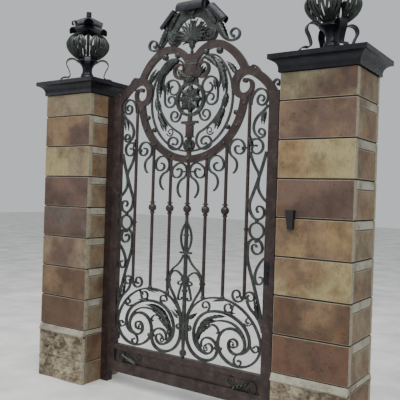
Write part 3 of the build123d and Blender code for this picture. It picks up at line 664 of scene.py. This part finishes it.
def base_face(mesh, low, high, face_y, shaft_y, seed):
    """The split face of a base to the street or the garden, and the weathered ledge above it."""
    outward = 1 if face_y > shaft_y else -1
    ledge = high.z - ledge_height

    def across(u):
        """X at a share of the width, turned round at the back so that the sheet faces outward there."""
        return low.x + (high.x - low.x) * (u * -outward + 1) / 2

    def split_face(u, v):
        x = across(u)
        z = ledge * v
        edge = min(1.0, 14 * min(v + 0.02, 1 - v, (1 - abs(u)) / 2 + 0.001))
        groove = 1 - min(abs(z - rock_joint) / groove_half, 1.0)
        depth = rock_margin + (rock_depth * rock(x, z, seed) - rock_margin) * edge
        return Vector((x, face_y - outward * max(depth, rock_depth * groove), z))

    def inner_face(u, v):
        return Vector((across(u), shaft_y - outward * front_depth, ledge * v))

    def slope(u, v):
        y = (face_y - outward * ledge_inset) * (1 - v) + (shaft_y - outward * 0.001) * v
        z = ledge + ledge_inset + (high.z - 0.003 - ledge) * v
        return Vector((across(u), y, z))

    def under(u, v):
        y = shaft_y - outward * (0.004 + 0.02 * v)
        return Vector((across(u), y, ledge - 0.02 + 0.03 * v))

    start = len(mesh.faces)
    solid_sheet(mesh, rock_rows, rock_columns, split_face, inner_face)
    mesh.faces.ensure_lookup_table()
    paint(mesh, mesh.faces[start:], rock_tone, rock_patch, seed, 0)
    for face in mesh.faces[start:]:
        if abs(face.normal.x) < square_share:
            face.material_index = 1
    start = len(mesh.faces)
    solid_sheet(mesh, 4, 12, slope, under, smooth=False)
    mesh.faces.ensure_lookup_table()
    paint(mesh, mesh.faces[start:], ledge_tone, pale_band, seed, 0)


def base_sides(mesh, low, high, shaft_low, shaft_high, dice):
    """Two smooth stones and the end of the ledge at each side of a base."""
    front = shaft_low.y + front_depth
    back = shaft_high.y - front_depth
    ledge_front = shaft_low.y + side_ledge_inset
    ledge_back = shaft_high.y - side_ledge_inset
    ledge_foot = high.z - side_ledge_drop
    ledge_top = high.z - ledge_inset
    for inner, outer in ((low.x + side_thickness, low.x), (high.x - side_thickness, high.x)):
        near, far = min(inner, outer), max(inner, outer)
        for foot, top, tone, patch in (
            (0.0, side_foot_top, ochre, grey_tan),
            (side_head_foot, high.z - side_head_drop, dark_brown, tan),
        ):
            seed = dice.uniform(0, 100)
            slab(mesh, (near, front, foot), (far, back, top), tone, patch, seed)
        seed = dice.uniform(0, 100)
        corner = (far, ledge_back, ledge_top)
        slab(mesh, (near, ledge_front, ledge_foot), corner, pale_band, ledge_tone, seed)


def clad_base(side, dice):
    """A split face to the street and the garden under a pale weathered ledge, and smooth sides."""
    low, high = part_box(f"{side}_pillar_base")
    shaft_low, shaft_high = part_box(f"{side}_pillar_shaft")
    mesh = stone_mesh()
    for face_y, shaft_y in ((low.y, shaft_low.y), (high.y, shaft_high.y)):
        base_face(mesh, low, high, face_y, shaft_y, dice.uniform(0, 100))
    base_sides(mesh, low, high, shaft_low, shaft_high, dice)
    base = new_piece(f"{side}_base_stone", mesh, [stone, split_stone], "posts")
    core = mortar_core(low, high, Vector((core_inset, core_inset + rock_depth, 0)))
    bmesh.ops.subdivide_edges(core, edges=core.edges[:], cuts=3, use_grid_fill=True)
    filling = new_piece(f"{side}_base_mortar", core, [mortar], "posts")
    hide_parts(f"{side}_pillar_base")
    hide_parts(f"{side}_pillar_base")


# Finials: heights above the cap and reaches from the axis
rim_height = 0.176
petal_profile = (
    (0.058, 0.180),
    (0.098, 0.196),
    (0.137, 0.227),
    (0.166, 0.262),
    (0.180, 0.298),
    (0.175, 0.330),
    (0.155, 0.356),
    (0.127, 0.373),
)
petal_reaches = [reach for reach, _ in petal_profile]
petal_heights = [height for _, height in petal_profile]
# Half of a petal's turn about the axis at each height, in radians
petal_half = (0.70, 0.66, 0.64, 0.68, 0.70, 0.62, 0.50, 0.38)
petal_ribs = 9
petal_thickness = 0.0045
rib_inset = 0.0095
rib_belly = 0.0075
rib_lip = 0.008
# The cup's profile: reach and height above the rim's foot
cup_profile = (
    (0.0, 0.0005),
    (0.058, 0.0005),
    (0.070, 0.006),
    (0.072, 0.012),
    (0.062, 0.013),
    (0.03, 0.009),
    (0.0, 0.008),
)


def finial_axis(side):
    """The foot of a finial's axis, on top of its cap."""
    low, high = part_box(f"{side}_finial_cage")
    cap_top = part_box(f"{side}_pillar_cap")[1].z
    return Vector(((low.x + high.x) / 2, (low.y + high.y) / 2, cap_top))


def along(values, share):
    """A value part of the way through a list, with round turns."""
    place = share * (len(values) - 1)
    index = min(int(place), len(values) - 2)
    before = values[max(index - 1, 0)]
    first, second = values[index], values[index + 1]
    after = values[min(index + 2, len(values) - 1)]
    part = place - index
    slope = second - before
    bend = 2 * before - 5 * first + 4 * second - after
    turn = 3 * first - before - 3 * second + after
    return 0.5 * (2 * first + slope * part + bend * part * part + turn * part * part * part)


def slit(gap, v):
    """Share of a rib's half width that the slit in a gap between ribs takes away."""
    if 0 <= gap < petal_ribs - 1:
        middle = 0.34 if gap % 2 else 0.60
        return 0.62 * max(0, 1 - ((v - middle) / 0.24) ** 2)
    return 0.34 * abs(math.sin(7 * math.pi * v)) * math.sin(math.pi * v)


def rib_surface(axis, quarter, rib, offset):
    """One face of a petal's rib, as a function of u across it and v up it."""
    share = 2 * rib / (petal_ribs - 1) - 1
    top = 1 - 0.14 * share**2 - (0.05 if rib % 2 else 0)

    def point(u, v):
        rise = v * top
        half_turn = along(petal_half, rise) * (0.72 + 0.28 * min(v / 0.45, 1))
        gap = rib if u > 0 else rib - 1
        slim = 1.16 - slit(gap, v) - 0.55 * max(v - 0.86, 0) / 0.14
        width = slim * half_turn / petal_ribs
        centre = quarter * math.pi / 2 + share * half_turn * (1 - 1 / petal_ribs)
        angle = centre + u * width
        belly = rib_belly * (1 - abs(u) ** 1.5) * math.sin(math.pi * (0.08 + 0.84 * v))
        lip = rib_lip * max(v - 0.88, 0) / 0.12
        reach = along(petal_reaches, rise) - rib_inset + belly + lip + offset
        return axis + Vector((reach * math.cos(angle), reach * math.sin(angle), along(petal_heights, rise)))

    return point


def ribbed_petals(side):
    """Four leaves of raised ribs, with open slits between the ribs and jagged edges."""
    axis = finial_axis(side)
    mesh = bmesh.new()
    for quarter in range(4):
        for rib in range(petal_ribs):
            outer = rib_surface(axis, quarter, rib, 0.0)
            inner = rib_surface(axis, quarter, rib, -petal_thickness)
            solid_sheet(mesh, 28, 6, outer, inner)
    petals = new_piece(f"{side}_finial_petals", mesh, [patina], "posts")
    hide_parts(f"{side}_finial_cage")


def finial_cup(side):
    """The round dish from which the petals rise, with a rolled rim."""
    profile = [(reach, rim_height + rise) for reach, rise in cup_profile]
    mesh = bmesh.new()
    turned(mesh, finial_axis(side), profile, steps=48)
    cup = new_piece(f"{side}_finial_cup", mesh, [patina], "posts")
    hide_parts(f"{side}_finial_cage")


# Ornament on the leaf
def curl(bars, eyes, x, z, lift, heading, radius, turn, bar_radius, depth=1.0):
    """A volute that tightens from a radius through a turn, in degrees, to a ball at its eye."""
    points = []
    radii = []
    count = 40
    angle = math.radians(heading)
    place = Vector((x, leaf_middle - lift, z))
    for index in range(count + 1):
        share = index / count
        points.append(place.copy())
        radii.append(bar_radius * (1 - 0.35 * share))
        step = math.radians(turn) / count
        here = radius * (1 - 0.68 * share)
        place += Vector((math.cos(angle), 0, math.sin(angle))) * here * abs(step)
        angle += step
    swept(bars, points, radii, depth)
    end = points[-1]
    dome(eyes, on_street(end.x, end.z, 90, lift), bar_radius * 1.35, bar_radius * (0.8 + depth), 16)


def clip(mesh, x, z, length, width, half_depth):
    """A forged band round two bars where they touch, on both faces of the leaf."""
    centre = on_street(x, z, 90, 0.0)
    size = Matrix.Diagonal((width, length, 2 * half_depth, 1))
    made = bmesh.ops.create_cube(mesh, size=1, matrix=centre @ size)
    edges = unique(edge for vert in made["verts"] for edge in vert.link_edges)
    bmesh.ops.bevel(mesh, geom=edges, offset=0.003, segments=2, profile=0.5, affect="EDGES")


def on_all_sides(mesh):
    """Mirrors the right half to the left, and the street side to the garden side."""
    double(mesh, 0, 0)
    double(mesh, leaf_middle, 1)


def leaf_iron(name, mesh, material=patina):
    """A piece of forged or cast iron that rides on the leaf."""
    return new_piece(name, mesh, [material], "leaf")


def half(node):
    """How far a node's face stands from the leaf's middle plane."""
    low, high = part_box(node)
    return (high.y - low.y) / 2


# Rivets of the right half, and the one on the middle line
band_rivets = ((0.158, 1.789), (0.300, 1.870), (0.400, 1.986), (0.452, 2.132))
lowest_rivet = (0, 1.760)


def add_rivets():
    """Round heads along the horseshoe, on both sides of the leaf."""
    mesh = bmesh.new()
    lift = half("horseshoe_band")
    for x, z in band_rivets:
        for side in (-1, 1):
            dome(mesh, on_street(side * x, z, 90, lift), radius=0.012, height=0.010)
    dome(mesh, on_street(*lowest_rivet, 90, lift), radius=0.014, height=0.012)
    double(mesh, leaf_middle, 1)
    leaf_iron("band_rivets", mesh)


# Balls of the right half in the ring's pattern: x, z and radius
ring_balls = ((0.238, 2.518, 0.024), (0.125, 2.522, 0.022), (0.387, 2.078, 0.018), (0.322, 1.981, 0.018))
picket_feet = ((0.158, 0.776), (0.321, 0.795))
foot_radius = 0.0175


def add_balls():
    """Balls between the bands and the ring and at the feet of the pickets, rounded on both sides."""
    mesh = bmesh.new()
    lift = half("inner_ring") - 0.001
    for x, z, radius in ring_balls:
        dome(mesh, on_street(x, z, 90, lift), radius, radius * 0.75)
    for x, z in picket_feet:
        dome(mesh, on_street(x, z, 90, 0.0), foot_radius, foot_radius)
    on_all_sides(mesh)
    leaf_iron("ring_balls", mesh)


# Each volute end: x, z and heading of the bar that it carries on, radius, turn and half width
volute_ends = (
    (0.190, 0.441, 212, 0.021, 330, 0.0058),
    (0.418, 0.467, 188, 0.024, -330, 0.0058),
    (0.205, 1.950, 238, 0.032, -430, 0.0050),
)


def add_volute_ends():
    """The last tight turn of the large volutes, with a ball at its eye."""
    bars = bmesh.new()
    eyes = bmesh.new()
    for x, z, heading, radius, turn, width in volute_ends:
        curl(bars, eyes, x, z, 0.0, heading, radius, turn, width, 1.5)
    double(bars, 0, 0)
    double(eyes, 0, 0)
    double(eyes, leaf_middle, 1)
    leaf_iron("volute_ends", bars)
    leaf_iron("volute_eyes", eyes)


# The kick panel's scroll, at the right end: points of its middle bar and the bar's radius at each
panel_bar = ((0.424, 0.208), (0.448, 0.210), (0.472, 0.219), (0.497, 0.233), (0.522, 0.247), (0.545, 0.256))
panel_radii = (0.0055, 0.0065, 0.007, 0.007, 0.0065, 0.006)
panel_fingers = 4


def add_relief_curls():
    """Volutes in relief beside the crest's palmette, and a fingered scroll at each end of the panel."""
    bars = bmesh.new()
    eyes = bmesh.new()
    crest = half("crest_scrolls") + 0.001
    curl(bars, eyes, 0.205, 2.662, crest, heading=272, radius=0.052, turn=-500, bar_radius=0.0085)
    panel = half("kick_panel") + 0.003
    curl(bars, eyes, *panel_bar[-1], panel, heading=24, radius=0.050, turn=-320, bar_radius=panel_radii[-1])
    curl(bars, eyes, *panel_bar[0], panel, heading=184, radius=0.036, turn=-430, bar_radius=panel_radii[0])
    points = [Vector((x, leaf_middle - panel, z)) for x, z in panel_bar]
    swept(bars, points, panel_radii)
    fingers = bmesh.new()
    for step in range(panel_fingers):
        foot = on_street(0.434 + 0.029 * step, 0.188 + 0.010 * step, 64 - step, panel - 0.008)
        length = 0.043 + 0.003 * step
        leaf(fingers, foot, length, 0.015, lobes=1, lift=0.022, bend=-0.5, thickness=0.006)
    for mesh in (bars, eyes, fingers):
        on_all_sides(mesh)
    leaf_iron("relief_curls", bars)
    leaf_iron("relief_eyes", eyes)
    # The fingers take the lighter copy of the patina as painted highlight
    leaf_iron("panel_fingers", fingers, painted_highlight_iron)


# Each spray: x, z and heading, in degrees, of its foot on the right half, length, width, lobes and bend
lower_sprays = (
    (0.119, 0.462, 86, 0.070, 0.024, 3, -0.45),
    (0.122, 0.500, 62, 0.132, 0.032, 4, -0.85),
    (0.130, 0.540, 57, 0.178, 0.034, 5, -0.95),
    (0.152, 0.588, 46, 0.215, 0.030, 6, -0.85),
    (0.046, 0.604, 54, 0.080, 0.026, 3, -0.40),
    (0.356, 0.786, 183, 0.110, 0.020, 4, 0.30),
    (0.330, 0.694, 8, 0.090, 0.020, 4, -0.25),
)
ring_sprays = (
    (0.116, 2.488, -18, 0.150, 0.040, 5, -0.75),
    (0.205, 2.462, -44, 0.190, 0.046, 6, -0.70),
    (0.276, 2.352, -76, 0.130, 0.036, 5, -0.25),
    (0.306, 2.215, -97, 0.120, 0.034, 4, -0.35),
    (0.284, 2.110, -112, 0.130, 0.036, 5, -0.45),
    (0.036, 2.352, 22, 0.105, 0.046, 4, 0.70),
    (0.206, 2.330, -72, 0.090, 0.028, 3, -0.25),
    (0.262, 2.052, 238, 0.090, 0.030, 4, 0.30),
    (0.379, 2.341, 119, 0.118, 0.032, 4, 0.30),
)
crest_sprays = (
    (0.198, 2.708, 102, 0.150, 0.050, 5, 0.90),
    (0.222, 2.738, -72, 0.168, 0.042, 6, 0.35),
)
side_sprays = (
    (0.604, 0.690, 98, 0.150, 0.026, 5, 0.10),
    (0.612, 2.075, -112, 0.090, 0.024, 4, 0.40),
    (0.520, 1.840, 118, 0.080, 0.024, 4, -0.40),
)


def add_sprays(name, sprays, carrier, rise):
    """Acanthus sprays that lie on the face of the node that carries them."""
    mesh = bmesh.new()
    lift = half(carrier)
    for x, z, heading, length, width, lobes, bend in sprays:
        leaf(mesh, on_street(x, z, heading, lift), length, width, lobes, rise, bend)
    on_all_sides(mesh)
    leaf_iron(name, mesh)


column_flower_height = 1.861
ring_flower_height = 2.318


def add_medallion_flower():
    """Sixteen long petals and eight short ones round a boss, on both sides of the leaf."""
    low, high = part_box("medallion_rosette")
    centre_z = (low.z + high.z) / 2
    reach = (high.z - low.z) / 2
    mesh = bmesh.new()
    for step in range(8):
        place = on_street(0, centre_z, 45 * step, 0.002)
        leaf(mesh, place, reach * 0.995, 0.050, lobes=3, lift=0.015, thickness=0.004)
        place = on_street(0, centre_z, 45 * step + 22.5, 0.0)
        leaf(mesh, place, reach * 0.80, 0.034, lobes=3, lift=0.010, thickness=0.004)
    for step in range(8):
        place = on_street(0, centre_z, 45 * step + 22.5, 0.012)
        leaf(mesh, place, reach * 0.44, 0.032, lobes=2, lift=0.010)
    dome(mesh, on_street(0, centre_z, 90, 0.014), radius=0.016, height=0.016, steps=28)
    double(mesh, leaf_middle, 1)
    flower = leaf_iron("medallion_flower", mesh)
    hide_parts("medallion_rosette")


def add_column_flowers():
    """A flower on the ring column's foot and half a one on its head."""
    mesh = bmesh.new()
    lift = half("ring_column")
    for step in range(6):
        place = on_street(0, column_flower_height, 60 * step + 30, lift)
        leaf(mesh, place, 0.042, 0.030, lobes=2, lift=0.009)
    dome(mesh, on_street(0, column_flower_height, 90, lift), radius=0.012, height=0.015, steps=24)
    for step in range(5):
        place = on_street(0, ring_flower_height, 30 * step + 30, lift)
        leaf(mesh, place, 0.052, 0.026, lobes=3, lift=0.008)
    double(mesh, leaf_middle, 1)
    leaf_iron("column_flowers", mesh)


# Each frond of the right half: x, z and heading of its foot, length, width and bend
fronds = (
    (0.006, 2.612, 84, 0.158, 0.028, -0.50),
    (0.008, 2.610, 76, 0.160, 0.028, -0.85),
    (0.010, 2.608, 67, 0.158, 0.028, -1.15),
    (0.013, 2.606, 57, 0.150, 0.028, -1.35),
    (0.015, 2.606, 46, 0.126, 0.026, -1.40),
    (0.016, 2.606, 34, 0.092, 0.022, -1.30),
)


def add_fronds():
    """Narrow ribbed fronds that fan out from the palmette's cup, over the volutes beside it."""
    mesh = bmesh.new()
    lift = half("crest_scrolls") + 0.001
    for x, z, heading, length, width, bend in fronds:
        leaf(mesh, on_street(x, z, heading, lift), length, width, lobes=2, lift=0.012, bend=bend)
    double(mesh, 0, 0)
    leaf(mesh, on_street(0, 2.614, 90, lift + 0.002), 0.160, 0.030, lobes=2, lift=0.013)
    for heading in (58, 90, 122):
        leaf(mesh, on_street(0, 2.796, heading, lift), 0.072, 0.034, lobes=3, lift=0.012)
    double(mesh, leaf_middle, 1)
    leaf_iron("palmette_fronds", mesh)


# Each tie of the right half, and each moulding on the middle line: x, z, length upwards and width
bar_ties = (
    (0.298, 0.440, 0.022, 0.056),
    (0.300, 0.548, 0.014, 0.030),
    (0.489, 0.817, 0.020, 0.046),
    (0.150, 0.872, 0.014, 0.040),
    (0.452, 1.829, 0.026, 0.018),
)
neck_mouldings = (
    (0, 2.446, 0.014, 0.112),
    (0, 2.012, 0.010, 0.070),
    (0, 1.921, 0.010, 0.070),
)


def add_clips():
    """Forged bands where bars touch, and mouldings across the arches' neck and the crest."""
    mesh = bmesh.new()
    band = half("heart_arches") + 0.004
    for x, z, length, width in bar_ties:
        clip(mesh, x, z, length, width, half("centre_stem") + 0.003)
    double(mesh, 0, 0)
    crest = half("crest_scrolls") + 0.004
    clip(mesh, 0, 2.790, length=0.034, width=0.020, half_depth=crest)
    clip(mesh, 0, 2.462, length=0.007, width=0.100, half_depth=band - 0.002)
    for x, z, length, width in neck_mouldings:
        clip(mesh, x, z, length, width, band)
    leaf_iron("forged_clips", mesh)


# The tongue's curl: its reach and what that loses, its height above the cap, and its turn in degrees
tongue_reach = 0.026
tongue_taper = 0.008
tongue_height = 0.446
tongue_start = -40
tongue_turn = 290
tongue_steps = 28


def add_tile_curls():
    """A curled tongue on the street end of each finial's lower tile."""
    for side in ("left", "right"):
        low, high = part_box(f"{side}_finial_crown")
        middle = (low.x + high.x) / 2
        cap_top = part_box(f"{side}_pillar_cap")[1].z
        points = []
        centre = Vector((middle, low.y + tongue_reach, cap_top + tongue_height))
        for index in range(tongue_steps + 1):
            turn = math.radians(tongue_start + tongue_turn * index / tongue_steps)
            reach = tongue_reach - tongue_taper * index / tongue_steps
            points.append(centre + Vector((0, math.cos(turn) * reach, math.sin(turn) * reach)))
        mesh = bmesh.new()
        flat_bar(mesh, points, width=0.020, thickness=0.003)
        new_piece(f"{side}_tile_curl", mesh, [black], "posts")


def add_stage():
    """A pale floor and soft overcast light from a large sky, a key and a fill."""
    bpy.ops.mesh.primitive_plane_add(size=60)
    floor = bpy.context.object
    floor.name = "floor"
    floor.data.materials.append(plain_material("pale_floor", (0.72, 0.71, 0.69), 0.9, 0, 2))
    world = bpy.data.worlds.new("overcast")
    world.use_nodes = True
    world.node_tree.nodes["Background"].inputs["Color"].default_value = (0.86, 0.9, 0.92, 1)
    world.node_tree.nodes["Background"].inputs["Strength"].default_value = 0.68
    scene.world = world
    for name, place, size, power in (
        ("soft_sky", (0.0, -1.6, 7.0), 5.0, 420),
        ("soft_key", (4.5, -5.5, 6.0), 3.0, 230),
        ("soft_fill", (-5.0, -4.5, 4.5), 4.0, 70),
    ):
        light = bpy.data.lights.new(name, "AREA")
        light.size = size
        light.energy = power
        lamp = bpy.data.objects.new(name, light)
        lamp.location = place
        aim = Vector((0, 0, 1.3)) - Vector(place)
        lamp.rotation_euler = aim.to_track_quat("-Z", "Y").to_euler()
        scene.collection.objects.link(lamp)


add_camera()
dress_cad_nodes()
dice = random.Random(7)
for side, tones in (("right", right_tones), ("left", left_tones)):
    clad_shaft(side, tones, dice)
    clad_base(side, dice)
    ribbed_petals(side)
    finial_cup(side)
add_rivets()
add_balls()
add_sprays("lower_sprays", lower_sprays, "centre_stem", 0.012)
add_sprays("ring_sprays", ring_sprays, "lyre_scrolls", 0.012)
add_sprays("crest_sprays", crest_sprays, "crest_scrolls", 0.010)
add_sprays("side_sprays", side_sprays, "right_side_scrolls", 0.008)
add_medallion_flower()
add_column_flowers()
add_fronds()
add_relief_curls()
add_volute_ends()
add_clips()
add_tile_curls()
add_stage()
